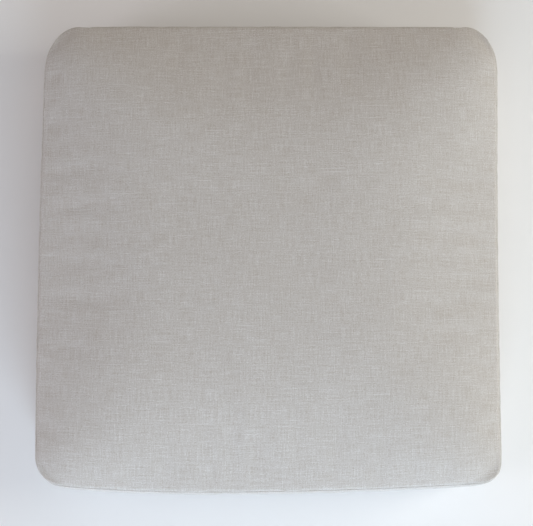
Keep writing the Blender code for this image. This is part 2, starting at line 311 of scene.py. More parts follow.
SIDE_ROOM = 0.0012  # left at each side for the filling's swell
CROWN_ROOM = 0.005  # and at the crown
HALF = cover_high.x - SIDE_ROOM
TOP_SEAM = cover_high.z
BOTTOM_SEAM = cover_low.z
CROWN = top_high.z - TOP_SEAM - CROWN_ROOM
ZIP_MIDDLE = (strip_low.z + lower_high.z) / 2
FOLD_UPPER, FOLD_LOWER = strip_low.z, lower_high.z
ZIP_END = strip_high.x
FAR_CORNER = (0.044, 0.061)  # across and along
NEAR_LEFT, NEAR_RIGHT = 0.035, 0.026
FRONT_BELLY, FRONT_IN, BELLY_X = 0.0115, 0.002, -0.065
SIDE_LEAN, FRONT_LEAN, SIDE_BOW, BACK_BOW = 0.0075, 0.004, 0.0025, 0.0025
SQUARENESS, CROWN_SHOULDER, CROWN_ROUND = 12, 3.4, 0.72
BOTTOM_FLAT = 0.72  # share of the bottom that lies flat on the floor
BOXING_BELLY = 0.0035
CORNER_TURN = 0.055  # how far from each corner the sides begin to turn
BACK = cover_high.y
BACK_DEPTH = 0.01
FOLD_PROUD, FOLD_SPREAD = 0.0012, 0.007  # how far the folds stand out over the tape, and over what height
FLAT_BY_FOLD, FLAT_BY_END, FLAT_FADE = 0.014, 0.004, 0.028  # the cloth that the zip's stitching keeps flat
LEVEL_OVER = 0.03
SEAM_STEPS = (0.003, 0.008, 0.015, 0.023)
EDGE_ROWS, FOLD_ROWS = (0.003, 0.009, 0.017, 0.025, 0.032), (0.010, 0.006, 0.003)
CLOTH_STEP = 0.0092
TOP_PIECE, BOTTOM_PIECE, BOXING_PIECE, UPPER_STRIP, LOWER_STRIP, ZIP_OPENING = range(6)


def steps_across():
    """Rows of the panel from seam to seam, closer by the seams, with one at each end of the zip."""
    inner = HALF - SEAM_STEPS[-1]
    count = round(2 * inner / CLOTH_STEP)
    middle = [-inner + 2 * inner * n / count for n in range(count + 1)]
    by_seam = [-HALF] + [-HALF + step for step in SEAM_STEPS[:-1]]
    rows = by_seam + middle + [-row for row in reversed(by_seam)]
    for end in (-ZIP_END, ZIP_END):
        nearest = min(range(len(rows)), key=lambda n: abs(rows[n] - end))
        rows[nearest] = end
    return rows


def round_corner(x, y):
    """Draws a point of the square panel in, where it is by a corner."""
    wide, deep = FAR_CORNER if y > 0 else (NEAR_RIGHT, NEAR_RIGHT) if x > 0 else (NEAR_LEFT, NEAR_LEFT)
    if abs(x) <= HALF - wide or abs(y) <= HALF - deep:
        return x, y
    across, along = (abs(x) - HALF) / wide + 1, (abs(y) - HALF) / deep + 1
    drawn_across = across * sqrt(1 - along * along / 2)
    drawn_along = along * sqrt(1 - across * across / 2)
    return copysign(HALF + wide * (drawn_across - 1), x), copysign(HALF + deep * (drawn_along - 1), y)


def hand_cut(x, y):
    """How a sewn square is not square: the front edge bellies out, and the sides lean and bow."""
    front = max(0.0, -y / HALF) ** 2
    right, left = max(0.0, x / HALF) ** 2, max(0.0, -x / HALF) ** 2
    off = x - BELLY_X
    belly = FRONT_BELLY * (1 - min(1.0, abs(off) / (HALF + copysign(BELLY_X, off))) ** 2) * front
    bend = 1 - (y / HALF) ** 2
    lean = SIDE_LEAN * (y - HALF)
    back = max(0.0, y / HALF) ** 2
    y += (FRONT_IN + FRONT_LEAN * x) * front - belly + BACK_BOW * back
    return x + lean - SIDE_BOW * bend * (right + left), y


def swell(across, along):
    """Share of the crown at a point of the panel: 1 in the middle, 0 on the seam."""
    sides = abs(across / HALF) ** SQUARENESS + abs(along / HALF) ** SQUARENESS
    share = min(1.0, sides ** (1 / SQUARENESS))
    return (1 - share**CROWN_SHOULDER) ** CROWN_ROUND


def outward(x, y):
    """The way out of the cushion, level, at a point on its sides."""
    straight = HALF - CORNER_TURN
    out = Vector((x - max(-straight, min(straight, x)), y - max(-straight, min(straight, y)), 0))
    return out.normalized() if out.length > 0 else Vector((0, 0, 0))


def zip_fold_proud(z):
    """How far the boxing stands out by the folded edges over the zip."""
    away = max(0.0, abs(z - ZIP_MIDDLE) - (FOLD_UPPER - ZIP_MIDDLE)) / FOLD_SPREAD
    return FOLD_PROUD * exp(-away * away)


def by_zip(start):
    """0 by the zip, where a crease and two rows of stitching keep the cloth straight, to 1 away from it."""
    x, y, z = start
    if y < BACK - 2 * BACK_DEPTH or z > TOP_SEAM:
        return 1.0
    off = max(abs(z - ZIP_MIDDLE) - FLAT_BY_FOLD, abs(x) - ZIP_END - FLAT_BY_END, 0.0) / FLAT_FADE
    return min(1.0, off) ** 2 * (3 - 2 * min(1.0, off))


def lay_out_cover():
    """The whole cover as one skin, in its sewn shape before it is filled. Each face knows its piece."""
    rows = steps_across()
    count = len(rows)
    heights = [BOTTOM_SEAM] + [BOTTOM_SEAM + step for step in EDGE_ROWS]
    heights += [FOLD_LOWER - step for step in FOLD_ROWS] + [FOLD_LOWER]
    heights += [ZIP_MIDDLE] + [BOTTOM_SEAM + TOP_SEAM - z for z in reversed(heights)]
    rim = [(n, 0) for n in range(count - 1)] + [(count - 1, n) for n in range(count - 1)]
    rim += [(count - 1 - n, count - 1) for n in range(count - 1)]
    rim += [(0, count - 1 - n) for n in range(count - 1)]

    form = bmesh.new()
    piece = form.faces.layers.int.new("piece")
    cloth = form.loops.layers.uv.new("cloth")
    laid = form.verts.layers.float_vector.new("laid_out")

    def point_at(x, y, z):
        made = form.verts.new((x, y, z))
        made[laid] = (x, y, z)
        return made

    def face_of(corners, code, runs):
        made = form.faces.new(corners)
        made[piece] = code
        for corner, run in zip(made.loops, runs):
            corner[cloth].uv = run

    panels = {}
    for code in (TOP_PIECE, BOTTOM_PIECE):
        for i, across in enumerate(rows):
            for j, along in enumerate(rows):
                x, y = hand_cut(*round_corner(across, along))
                if code == TOP_PIECE:
                    z = TOP_SEAM + CROWN * swell(across, along)
                else:
                    edge = max(abs(across), abs(along)) / HALF
                    z = BOTTOM_SEAM * max(0.0, (edge - BOTTOM_FLAT) / (1 - BOTTOM_FLAT)) ** 2
                panels[code, i, j] = point_at(x, y, z)
        for i in range(count - 1):
            for j in range(count - 1):
                corners = [(i, j), (i + 1, j), (i + 1, j + 1), (i, j + 1)]
                if code == BOTTOM_PIECE:
                    corners.reverse()
                runs = [(rows[a], rows[b]) for a, b in corners]
                face_of([panels[code, a, b] for a, b in corners], code, runs)

    walls, around = {}, [0.0]
    outline = [panels[TOP_PIECE, i, j].co.xy for i, j in rim]
    for n in range(len(rim)):
        around.append(around[-1] + (outline[(n + 1) % len(rim)] - outline[n]).length)
    for level, z in enumerate(heights):
        for n, (i, j) in enumerate(rim):
            if level == 0:
                walls[n, level] = panels[BOTTOM_PIECE, i, j]
            elif level == len(heights) - 1:
                walls[n, level] = panels[TOP_PIECE, i, j]
            else:
                x, y = outline[n]
                if y > BACK - BACK_DEPTH and abs(x) <= ZIP_END + 0.001:
                    level_share = min(1.0, (TOP_SEAM - abs(z - ZIP_MIDDLE) - ZIP_MIDDLE) / LEVEL_OVER)
                    y += (BACK + zip_fold_proud(z) - y) * level_share
                else:
                    rise = (z - BOTTOM_SEAM) / (TOP_SEAM - BOTTOM_SEAM)
                    belly = BOXING_BELLY * sin(pi * rise) * by_zip((x, y, z))
                    out = outward(x, y)
                    x, y = x + out.x * belly, y + out.y * belly
                walls[n, level] = point_at(x, y, z)
    for level in range(len(heights) - 1):
        for n in range(len(rim)):
            after = (n + 1) % len(rim)
            middle = (outline[n] + outline[after]) / 2
            code = BOXING_PIECE
            if middle.y > BACK - BACK_DEPTH and abs(middle.x) < ZIP_END:
                code = ZIP_OPENING
                if heights[level] >= FOLD_UPPER - 0.0001:
                    code = UPPER_STRIP
                if heights[level + 1] <= FOLD_LOWER + 0.0001:
                    code = LOWER_STRIP
            corners = [(n, level), (after, level), (after, level + 1), (n, level + 1)]
            runs = [(around[n], heights[level]), (around[n + 1], heights[level])]
            runs += [(around[n + 1], heights[level + 1]), (around[n], heights[level + 1])]
            face_of([walls[c] for c in corners], code, runs)
    bmesh.ops.recalc_face_normals(form, faces=form.faces)
    return as_mesh(form, "cover_laid_out")


SWELL_LIMIT = 0.011
EASE = 0.003  # share by which the cloth is cut larger than the seams it is sewn between
FILLING_FRAMES = 20
LUMPS = ((0.11, 0.0012), (0.045, 0.0004))  # size across and height
LUMP_FADE = 0.05


def sewn_down(start):
    """True on the seams, whose doubled and stitched cloth keeps its line, and on the zip's folded edges."""
    x, y, z = start
    on_seam = min(abs(z - TOP_SEAM), abs(z - BOTTOM_SEAM)) < 0.0001
    return on_seam or by_zip(start) == 0.0


def fill_cover(mesh):
    """Swells the laid-out cover by its filling with a cloth simulation, and keeps only the shape."""
    skin = into_scene("cover_filled", mesh)
    starts = [point.co.copy() for point in mesh.vertices]
    held = skin.vertex_groups.new(name="held")
    held.add([number for number, start in enumerate(starts) if sewn_down(start)], 1.0, "REPLACE")
    filling = skin.modifiers.new("Filling", "CLOTH")
    cloth = filling.settings
    cloth.quality = 6
    cloth.mass = 0.3
    cloth.tension_stiffness = cloth.compression_stiffness = 25
    cloth.shear_stiffness = 8
    cloth.bending_stiffness = 2.0
    cloth.use_pressure = True
    cloth.uniform_pressure_force = 4.0
    cloth.effector_weights.gravity = 0
    cloth.vertex_group_mass = "held"
    cloth.shrink_min = -EASE
    filling.collision_settings.use_collision = False
    for step in range(1, FILLING_FRAMES + 1):
        bpy.context.scene.frame_set(step)
    swollen = skin.evaluated_get(bpy.context.evaluated_depsgraph_get()).data
    ends = [point.co.copy() for point in swollen.vertices]
    skin.modifiers.clear()
    bpy.context.scene.frame_set(1)
    for point, start, end in zip(mesh.vertices, starts, ends):
        move = end - start
        if move.length > 0:
            move *= SWELL_LIMIT * tanh(move.length / SWELL_LIMIT) / move.length
        point.co = start + move * by_zip(start)
    for point in mesh.vertices:
        give = sum(noise.noise(point.co / across) * height for across, height in LUMPS)
        point.co.z += give * by_zip(point.co) * min(1.0, max(0.0, point.co.z - BOTTOM_SEAM) / LUMP_FADE)
        point.co.z = max(point.co.z, 0.0)
    bpy.data.objects.remove(skin)
    return mesh


filled = fill_cover(lay_out_cover())

# Cover cloth. A natural greige slub linen blend in plain weave: uneven threads, thick slubs, brown flecks
# of straw, a dry hand and almost no shine. It is cut with its threads square to the cushion's sides.

LINEN_THREAD = 0.0009
LINEN_WARP = (0.540, 0.512, 0.482, 1)
LINEN_WEFT = (0.580, 0.552, 0.520, 1)
LINEN_PALE = (0.712, 0.702, 0.684, 1)
LINEN_DARK = (0.438, 0.388, 0.334, 1)
LINEN_STRAW = (0.230, 0.165, 0.105, 1)
WANDER, WANDER_SIZE = 0.0012, (0.012, 0.012, 1)  # how threads stray from straight
LINEN_RELIEF = 0.00016


def linen_finish(name):
    made, tree, shader = new_finish(name)
    layout = tree.nodes.new("ShaderNodeUVMap")
    layout.uv_map = "cloth"
    place = layout.outputs[0]
    across, along = run_of(tree, place)
    stray = calc(tree, "SUBTRACT", mottle(tree, place, WANDER_SIZE), 0.5)
    wander = calc(tree, "MULTIPLY", stray, WANDER)
    across, along = calc(tree, "ADD", across, wander), calc(tree, "SUBTRACT", along, wander)
    bumps, warp_up = plain_weave(tree, across, along, LINEN_THREAD)
    cloth = tinted(tree, warp_up, LINEN_WEFT, LINEN_WARP)
    weft_tone = mottle(tree, place, (0.030, 0.0014, 1), 3.0, 0.6)
    warp_tone = mottle(tree, place, (0.0014, 0.024, 1), 3.0, 0.6)
    speck = mottle(tree, place, (0.0017, 0.0014, 1), 1.0)
    tone = calc(tree, "ADD", calc(tree, "ADD", weft_tone, warp_tone), calc(tree, "MULTIPLY", speck, 1.3))
    cloth = tinted(tree, between(tree, tone, 1.62, 2.15, 0.0, 0.85), cloth, LINEN_PALE)
    cloth = tinted(tree, between(tree, tone, 1.68, 1.15, 0.0, 0.85), cloth, LINEN_DARK)
    weft_slub = between(tree, mottle(tree, place, (0.016, 0.0013, 1), 1.0), 0.66, 0.76)
    warp_slub = between(tree, mottle(tree, place, (0.0013, 0.013, 1), 1.0), 0.68, 0.78)
    slub = calc(tree, "MAXIMUM", weft_slub, warp_slub)
    long_slub = between(tree, mottle(tree, place, (0.055, 0.0011, 1), 0.0), 0.74, 0.80)
    slub = calc(tree, "MAXIMUM", slub, long_slub)
    cloth = tinted(tree, calc(tree, "MULTIPLY", slub, 0.7), cloth, LINEN_PALE)
    straw = between(tree, mottle(tree, place, (0.0034, 0.0015, 1), 1.0), 0.70, 0.80)
    cloth = tinted(tree, calc(tree, "MULTIPLY", straw, 0.55), cloth, LINEN_STRAW)
    husk = between(tree, mottle(tree, place, (0.0024, 0.0013, 1), 1.0), 0.79, 0.85)
    cloth = tinted(tree, calc(tree, "MULTIPLY", husk, 0.8), cloth, LINEN_STRAW)
    patches = between(tree, mottle(tree, place, (0.10, 0.09, 1), 2.0), 0.3, 0.7, 0.0, 0.06)
    cloth = tinted(tree, patches, cloth, LINEN_DARK)
    feed(tree, shader.inputs["Base Color"], cloth)
    feed(tree, shader.inputs["Roughness"], between(tree, bumps, 0.0, 1.0, 0.98, 0.86))
    shader.inputs["Sheen Weight"].default_value = 0.25
    shader.inputs["Sheen Roughness"].default_value = 0.5
    shader.inputs["Specular IOR Level"].default_value = 0.2
    relief = calc(tree, "ADD", bumps, calc(tree, "MULTIPLY", slub, 0.8))
    raised(tree, shader, relief, LINEN_RELIEF)
    return made


LINEN = linen_finish("slub_linen")
CLOTH = 0.0009
SEAM_TUCK = 0.0020  # how far the two cloths sink where they turn in to the seam
SEAM_OPEN = 0.00010  # half the gap between them
ALLOWANCE_STEPS = (0.0012, 0.0025, 0.0050)
STITCH_OFF = FOLD_UPPER - ZIP_MIDDLE + 0.006  # from the zip's middle to the row of stitches in each strip
STITCH_SINK = 0.0003
ON_SEAM, ON_FOLD, ON_STITCHES = 0.0015, 0.0065, 0.0007  # how near a point is to be counted as on it


def into_seam(start):
    """The way that the seam allowance turns, into the cushion, from a point on the cut edge."""
    x, y, z = start
    inward = -outward(x, y)
    if abs(z - TOP_SEAM) < ON_SEAM:
        return (inward * 0.75 - Vector((0, 0, 0.66))).normalized()
    if abs(z - BOTTOM_SEAM) < ON_SEAM:
        return (inward * 0.75 + Vector((0, 0, 0.66))).normalized()
    return inward


def on_fold(start):
    x, y, z = start
    return y > BACK - BACK_DEPTH and abs(x) < ZIP_END - 0.001 and abs(z - ZIP_MIDDLE) < ON_FOLD


def cut_piece(name, code):
    """One sewn piece of the filled cover, with its edges turned in to their seams."""
    form = bmesh.new()
    form.from_mesh(filled)
    layer = form.faces.layers.int["piece"]
    bmesh.ops.delete(form, geom=[face for face in form.faces if face[layer] != code], context="FACES")
    piece = into_scene(name, as_mesh(form, name))
    finer = piece.modifiers.new("Finer cloth", "SUBSURF")
    finer.levels = finer.render_levels = 1
    finer.boundary_smooth = "PRESERVE_CORNERS"
    settle(piece)

    form = bmesh.new()
    form.from_mesh(piece.data)
    laid = form.verts.layers.float_vector["laid_out"]
    cloth = form.loops.layers.uv["cloth"]
    turns = {}
    for point in form.verts:
        if point.is_boundary:
            inner = [edge.other_vert(point) for edge in point.link_edges if not edge.is_boundary]
            turns[point] = (into_seam(point[laid]), inner[0] if inner else None, point[laid].copy())
    for point in form.verts:
        x, y, z = point[laid]
        if abs(abs(z - ZIP_MIDDLE) - STITCH_OFF) < ON_STITCHES and y > BACK - BACK_DEPTH:
            point.co.y -= STITCH_SINK * max(0.0, 1 - max(0.0, abs(x) - ZIP_END + 0.004) / 0.004)
    for point, (turn, inner, start) in turns.items():
        if on_fold(start):
            continue
        ripple = noise.noise(start / 0.013)
        if inner:
            point.co += (inner.co - point.co).normalized() * SEAM_OPEN
            inner.co += turn * SEAM_TUCK * (0.33 + 0.25 * ripple)
        point.co += turn * SEAM_TUCK * (1 + 0.5 * ripple)
    for depth, step in enumerate(ALLOWANCE_STEPS):
        edges = [edge for edge in form.edges if edge.is_boundary]
        made = bmesh.ops.extrude_edge_only(form, edges=edges)["geom"]
        for point in made:
            if not isinstance(point, bmesh.types.BMVert):
                continue
            start = point[laid]
            if on_fold(start) and depth == 0:
                point.co.y -= CLOTH * 2.2
            elif on_fold(start):
                point.co.z += copysign(step, start.z - ZIP_MIDDLE)
                point.co.y = BACK + zip_fold_proud(point.co.z) - STITCH_SINK - CLOTH * 2.3
            else:
                point.co += into_seam(start) * step
            for corner in point.link_loops:
                corner[cloth].uv += (corner[cloth].uv - Vector((0, ZIP_MIDDLE))).normalized() * step
    bmesh.ops.recalc_face_normals(form, faces=form.faces)
    form.to_mesh(piece.data)
    form.free()
    face_out(piece)
    thick = piece.modifiers.new("Cloth thickness", "SOLIDIFY")
    thick.thickness = CLOTH
    thick.offset = -1
    finish_with(piece, LINEN)
    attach(piece, "cushion")
    return piece


def face_out(piece):
    """Turns the cloth's right side out."""
    middle = Vector((0, 0, ZIP_MIDDLE))
    total = sum((face.center - middle).dot(face.normal) * face.area for face in piece.data.polygons)
    if total < 0:
        piece.data.flip_normals()


# Top and bottom panels. Each is one square of the cover cloth, sewn all round to the boxing.
# The top is the face that shows, and crowns over the filling. The bottom lies flat on the floor.

top_panel = cut_piece("cover_top", TOP_PIECE)
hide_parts("top_panel")
bottom_panel = cut_piece("cover_bottom", BOTTOM_PIECE)
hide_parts("bottom_panel")

# Boxing. One strip of the cover cloth runs round the front and both sides, and its ends meet the zip strips.
# It is sewn to both panels, and bellies out a little between its seams.

boxing = cut_piece("cover_boxing", BOXING_PIECE)
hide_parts("main_boxing")

# Zip strips. Two strips of the cover cloth along the back, their edges folded under over the zip's tapes.
# Each is stitched down along its fold with a row of matching thread.

upper_strip = cut_piece("zip_strip_upper", UPPER_STRIP)
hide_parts("zip_boxing_upper")
lower_strip = cut_piece("zip_strip_lower", LOWER_STRIP)
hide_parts("zip_boxing_lower")

# Top-stitching. A row of matching thread along each strip, a little back from its fold, through strip and
# tape. Each stitch lies in the dent that its own tension pulls in the cloth.

STITCH_PITCH = 0.0032
STITCH_LENGTH = 0.0027
THREAD = 0.00042
THREAD_DARK, THREAD_PALE = (0.50, 0.46, 0.40, 1), (0.74, 0.70, 0.63, 1)
TWIST = (0.0003, 0.0006, 0.0003)


def thread_finish():
    made, tree, shader = new_finish("matching_thread")
    twist = mottle(tree, place_of(tree), TWIST)
    shade = tinted(tree, between(tree, twist, 0.35, 0.65), THREAD_DARK, THREAD_PALE)
    feed(tree, shader.inputs["Base Color"], shade)
    shader.inputs["Roughness"].default_value = 0.6
    shader.inputs["Sheen Weight"].default_value = 0.3
    raised(tree, shader, twist, 0.00005)
    return made


def surface_at(piece_tree, x, z):
    """The outer face of the back at that height and place along the zip."""
    hit = piece_tree.ray_cast(Vector((x, BACK + 0.05, z)), Vector((0, -1, 0)))
    return hit[0]


THREAD_FINISH = thread_finish()
for name, strip, side in (("upper", upper_strip, 1), ("lower", lower_strip, -1)):
    strip_tree = BVHTree.FromObject(strip, bpy.context.evaluated_depsgraph_get())
    form = bmesh.new()
    count = int(2 * (ZIP_END - 0.004) / STITCH_PITCH)
    for n in range(count):
        x = (n - (count - 1) / 2) * STITCH_PITCH
        z = ZIP_MIDDLE + side * (STITCH_OFF + 0.0001 * sin(7 * n))
        middle = surface_at(strip_tree, x, z)
        if middle is None:
            continue
        middle.y += THREAD * 0.2
        tilt = Matrix.Rotation(0.05 * sin(11 * n), 4, "Y")
        shape = Matrix.Diagonal((STITCH_LENGTH / 2, THREAD * 0.6, THREAD / 2, 1))
        bmesh.ops.create_uvsphere(
            form, u_segments=10, v_segments=6, radius=1, matrix=Matrix.Translation(middle) @ tilt @ shape
        )
    stitching = into_scene("zip_stitching_" + name, as_mesh(form, "zip_stitching_" + name))
    finish_with(stitching, THREAD_FINISH)
    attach(stitching, "cushion")

# Zip tapes. Two woven polyester tapes, sewn behind the strips' folds with their inner edges close together.
# Each has a fine herringbone face and a corded edge that the coil is stitched to.

TAPE_PALE = (0.56, 0.52, 0.46, 1)
TAPE_DARK = (0.42, 0.38, 0.33, 1)
TWILL, HERRINGBONE = 0.0008, 0.0016
TAPE_RELIEF = 0.00008


def tape_finish():
    made, tree, shader = new_finish("woven_zip_tape")
    place = place_of(tree)
    parts = tree.nodes.new("ShaderNodeSeparateXYZ")
    feed(tree, parts.inputs[0], place)
    along, up = parts.outputs[0], parts.outputs[2]
    slant = calc(tree, "ADD", along, calc(tree, "PINGPONG", up, HERRINGBONE))
    ribs = calc(tree, "SINE", calc(tree, "MULTIPLY", slant, 2 * pi / TWILL))
    ribs = between(tree, ribs, -1.0, 1.0)
    worn = mottle(tree, place, (0.02, 0.004, 0.003), 3.0)
    # Darker in the grooves between the twill's ribs and paler on their tops: painted shade along the ribs.
    # The worn mask varies its depth at random.
    shade = calc(tree, "MULTIPLY", ribs, between(tree, worn, 0.2, 0.8, 0.6, 1.0))
    feed(tree, shader.inputs["Base Color"], tinted(tree, shade, TAPE_DARK, TAPE_PALE))
    shader.inputs["Roughness"].default_value = 0.8
    shader.inputs["Sheen Weight"].default_value = 0.2
    raised(tree, shader, ribs, TAPE_RELIEF)
    return made


TAPE_FINISH = tape_finish()
TAPE_CELLS = (220, 6)
TAPE_GAP = 0.0003  # from the zip's middle to each tape's corded edge
CORD_RISE, TAPE_SLACK = 0.00012, 0.00008
for name, side in (("upper", 1), ("lower", -1)):
    low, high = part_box("zip_tape_" + name)
    form = bmesh.new()
    bmesh.ops.create_grid(form, x_segments=TAPE_CELLS[0], y_segments=TAPE_CELLS[1], size=1)
    width = max(abs(low.z - ZIP_MIDDLE), abs(high.z - ZIP_MIDDLE)) - TAPE_GAP
    for point in form.verts:
        across = (point.co.y + 1) / 2
        x = point.co.x * high.x
        cord_edge = CORD_RISE * max(0.0, 1 - across * 8)
        slack = TAPE_SLACK * noise.noise(Vector((x / 0.02, across, 0)))
        z = ZIP_MIDDLE + side * (TAPE_GAP + width * across)
        point.co = (x, high.y - CORD_RISE + cord_edge + slack, z)
    tape = into_scene("zip_tape_woven_" + name, as_mesh(form, "zip_tape_woven_" + name))
    face_out(tape)
    thick = tape.modifiers.new("Tape thickness", "SOLIDIFY")
    thick.thickness = high.y - low.y - 0.0002
    thick.offset = -1
    finish_with(tape, TAPE_FINISH)
    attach(tape, "cushion")
    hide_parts("zip_tape_" + name)

# Zip coils. Each is one nylon filament wound in a long spiral and stitched down to its tape's edge, its
# turns set half a turn on from the other's. Two lines of sewing thread run over each. The two coils stand
# a little apart, so that the slider's wedge can pass between them.

COIL_PITCH = 0.00135
FILAMENT = 0.00030
TURN_POINTS = 12
CHAIN_PITCH = 0.0027
COIL_HEAD = 0.0003  # from the zip's middle to each coil
COIL_THREAD, COIL_THREAD_LIFT = 0.00011, 0.00004
NYLON_DARK, NYLON_PALE = (0.56, 0.52, 0.45, 1), (0.66, 0.62, 0.55, 1)


def nylon_finish():
    made, tree, shader = new_finish("zip_nylon")
    wear = mottle(tree, place_of(tree), (0.012, 0.002, 0.002), 2.0)
    shade = tinted(tree, between(tree, wear, 0.3, 0.7), NYLON_DARK, NYLON_PALE)
    feed(tree, shader.inputs["Base Color"], shade)
    feed(tree, shader.inputs["Roughness"], between(tree, wear, 0.2, 0.8, 0.34, 0.5))
    shader.inputs["Subsurface Weight"].default_value = 0.1
    shader.inputs["Subsurface Radius"].default_value = (0.0004, 0.0004, 0.0003)
    raised(tree, shader, wear, 0.00002)
    return made


def wound(name, path, thickness, finish):
    """A filament or thread of that radius along a list of points, made into a mesh."""
    line = bpy.data.curves.new(name, "CURVE")
    line.dimensions = "3D"
    run = line.splines.new("POLY")
    run.points.add(len(path) - 1)
    for point, place in zip(run.points, path):
        point.co = (*place, 1)
    line.bevel_depth = thickness
    line.bevel_resolution = 1
    line.use_fill_caps = True
    draft = into_scene(name + "_draft", line)
    bpy.context.view_layer.update()
    mesh = bpy.data.meshes.new_from_object(draft.evaluated_get(bpy.context.evaluated_depsgraph_get()))
    bpy.data.objects.remove(draft)
    mesh.name = name
    piece = into_scene(name, mesh)
    finish_with(piece, finish)
    return piece


NYLON = nylon_finish()
for name, side in (("upper", 1), ("lower", -1)):
    low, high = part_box("zip_coil_" + name)
    foot = max(abs(low.z - ZIP_MIDDLE), abs(high.z - ZIP_MIDDLE))
    middle_z = ZIP_MIDDLE + side * (COIL_HEAD + foot) / 2
    reach_z = (foot - COIL_HEAD) / 2 - FILAMENT
    middle_y, reach_y = (low.y + high.y) / 2, (high.y - low.y) / 2 - FILAMENT
    turns = int((high.x - low.x) / COIL_PITCH) - 1
    path = []
    for n in range(turns * TURN_POINTS + 1):
        turn = 2 * pi * n / TURN_POINTS + (pi if side < 0 else 0)
        x = low.x + COIL_PITCH * (0.5 + n / TURN_POINTS)
        path.append((x, middle_y + reach_y * sin(turn), middle_z + side * reach_z * cos(turn)))
    coil = wound("zip_coil_wound_" + name, path, FILAMENT, NYLON)
    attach(coil, "cushion")
    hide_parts("zip_coil_" + name)
    for line, off in (("inner", 0.00055), ("outer", 0.00125)):
        path = []
        steps = int((high.x - low.x) / CHAIN_PITCH * 4)
        for n in range(steps + 1):
            lift = COIL_THREAD_LIFT * sin(n * pi / 2)
            x = low.x + (high.x - low.x) * n / steps
            z = ZIP_MIDDLE + side * (COIL_HEAD + FILAMENT + off)
            path.append((x, high.y + COIL_THREAD_LIFT + lift, z))
        sewn = wound("coil_thread_" + name + "_" + line, path, COIL_THREAD, THREAD_FINISH)
        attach(sewn, "cushion")

# Stops. Small nickelled clamps crimped through the tapes: one past the end of each coil where the zip
# closes, and one across both at the other end.

CRIMP_EDGE = 0.0005
NICKEL_DARK, NICKEL_PALE = (0.62, 0.60, 0.56, 1), (0.72, 0.70, 0.66, 1)


def nickel_finish():
    made, tree, shader = new_finish("satin_nickel")
    place = place_of(tree)
    scuffs = mottle(tree, place, (0.0025, 0.0004, 0.0006), 3.0, 0.7)
    tarnish = mottle(tree, place, (0.004, 0.004, 0.004), 2.0)
    shade = tinted(tree, between(tree, tarnish, 0.3, 0.7), NICKEL_DARK, NICKEL_PALE)
    feed(tree, shader.inputs["Base Color"], shade)
    shader.inputs["Metallic"].default_value = 1.0
    feed(tree, shader.inputs["Roughness"], between(tree, scuffs, 0.3, 0.7, 0.24, 0.42))
    raised(tree, shader, scuffs, 0.00001)
    return made


def crimped(node_name, piece_name):
    """The clamp that the frame gives, with its edges rounded as a stamped and squeezed one's are."""
    mesh = frame["nodes"][node_name].data.copy()
    form = bmesh.new()
    form.from_mesh(mesh)
    bmesh.ops.remove_doubles(form, verts=form.verts, dist=0.00001)
    flat = [edge for edge in form.edges if edge.is_manifold and edge.calc_face_angle() < 0.01]
    bmesh.ops.dissolve_edges(form, edges=flat, use_verts=True)
    form.to_mesh(mesh)
    form.free()
    piece = into_scene(piece_name, mesh)
    edge = piece.modifiers.new("Stamped edge", "BEVEL")
    edge.width = CRIMP_EDGE
    edge.segments = 4
    edge.limit_method = "ANGLE"
    finish_with(piece, NICKEL)
    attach(piece, "cushion")
    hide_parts(node_name)


NICKEL = nickel_finish()
for name in ("zip_top_stop_upper", "zip_top_stop_lower", "zip_bottom_stop"):
    crimped(name, name + "_crimp")

# Slider. One small die casting: an outer and an inner plate held apart by the wedge that parts the coils,
# a lip down each side, and the bridge that carries the tab. It runs along the coils.

slide_low, slide_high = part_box("zip_slider")
tab_low, tab_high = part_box("zip_pull_tab")
PIVOT = Vector(next(joint for joint in frame["joints"] if joint["type"] == "hinge")["pos_m"])
PLATE, PLATE_ROUND = 0.0011, 0.0003
PIN_OVER_PLATE = 0.00095  # from the outer plate's face to the tab's pivot
BRIDGE_HALF = Vector((0.0028, 0, 0.0011))
BRIDGE_WALL = 0.0009
LIP, LIP_FROM, LIP_RUN = 0.0005, -0.42, 1.22  # thickness, then where it starts and its run along the plate
WEDGE = [(0.0015, 0), (0.0030, 0.00024), (0.0045, 0.00024)]
WEDGE += [(0.0052, 0), (0.0045, -0.00024), (0.0030, -0.00024)]
SHY = 0.0004  # how much thinner the wedge and lips are than the room they fill
LIP_CLEAR = 0.0004  # from the tape to each lip
CASTING_GRAIN = 0.00014


def plate_edge(share, half_width):
    """Half the plate's width at a share of its half length: broad shoulders in front, narrower behind."""
    roundness = (1 - abs(share) ** 4.4) ** 0.22
    return half_width * (0.91 + 0.09 * sin(share * pi / 2)) * roundness


def plate_outline(half_length, half_width):
    """A slider plate seen from outside, its corners round."""
    shares = [sin(pi / 2 * n / 16) for n in range(-16, 17)]
    shares = [copysign(abs(share) ** 0.6, share) for share in shares]
    upper = [(share * half_length, plate_edge(share, half_width)) for share in shares]
    return upper + [(x, -z) for x, z in reversed(upper[1:-1])]


def slab(points, middle, thickness, rounding=0.0):
    """A flat plate of that outline, standing along the back of the cushion, its thickness along Y."""
    outline = bpy.data.curves.new("slab", "CURVE")
    outline.dimensions = "2D"
    outline.fill_mode = "BOTH"
    outline.extrude = thickness / 2 - rounding
    outline.bevel_depth = rounding
    outline.bevel_resolution = 2
    outline.offset = -rounding
    for ring_points in points:
        ring = outline.splines.new("POLY")
        ring.points.add(len(ring_points) - 1)
        for point, (x, z) in zip(ring.points, ring_points):
            point.co = (x, z, 0, 1)
        ring.use_cyclic_u = True
    draft = into_scene("slab", outline)
    draft.location = middle
    draft.rotation_euler = (pi / 2, 0, 0)
    bpy.context.view_layer.update()
    mesh = bpy.data.meshes.new_from_object(draft.evaluated_get(bpy.context.evaluated_depsgraph_get()))
    mesh.transform(draft.matrix_world)
    bpy.data.objects.remove(draft)
    return mesh


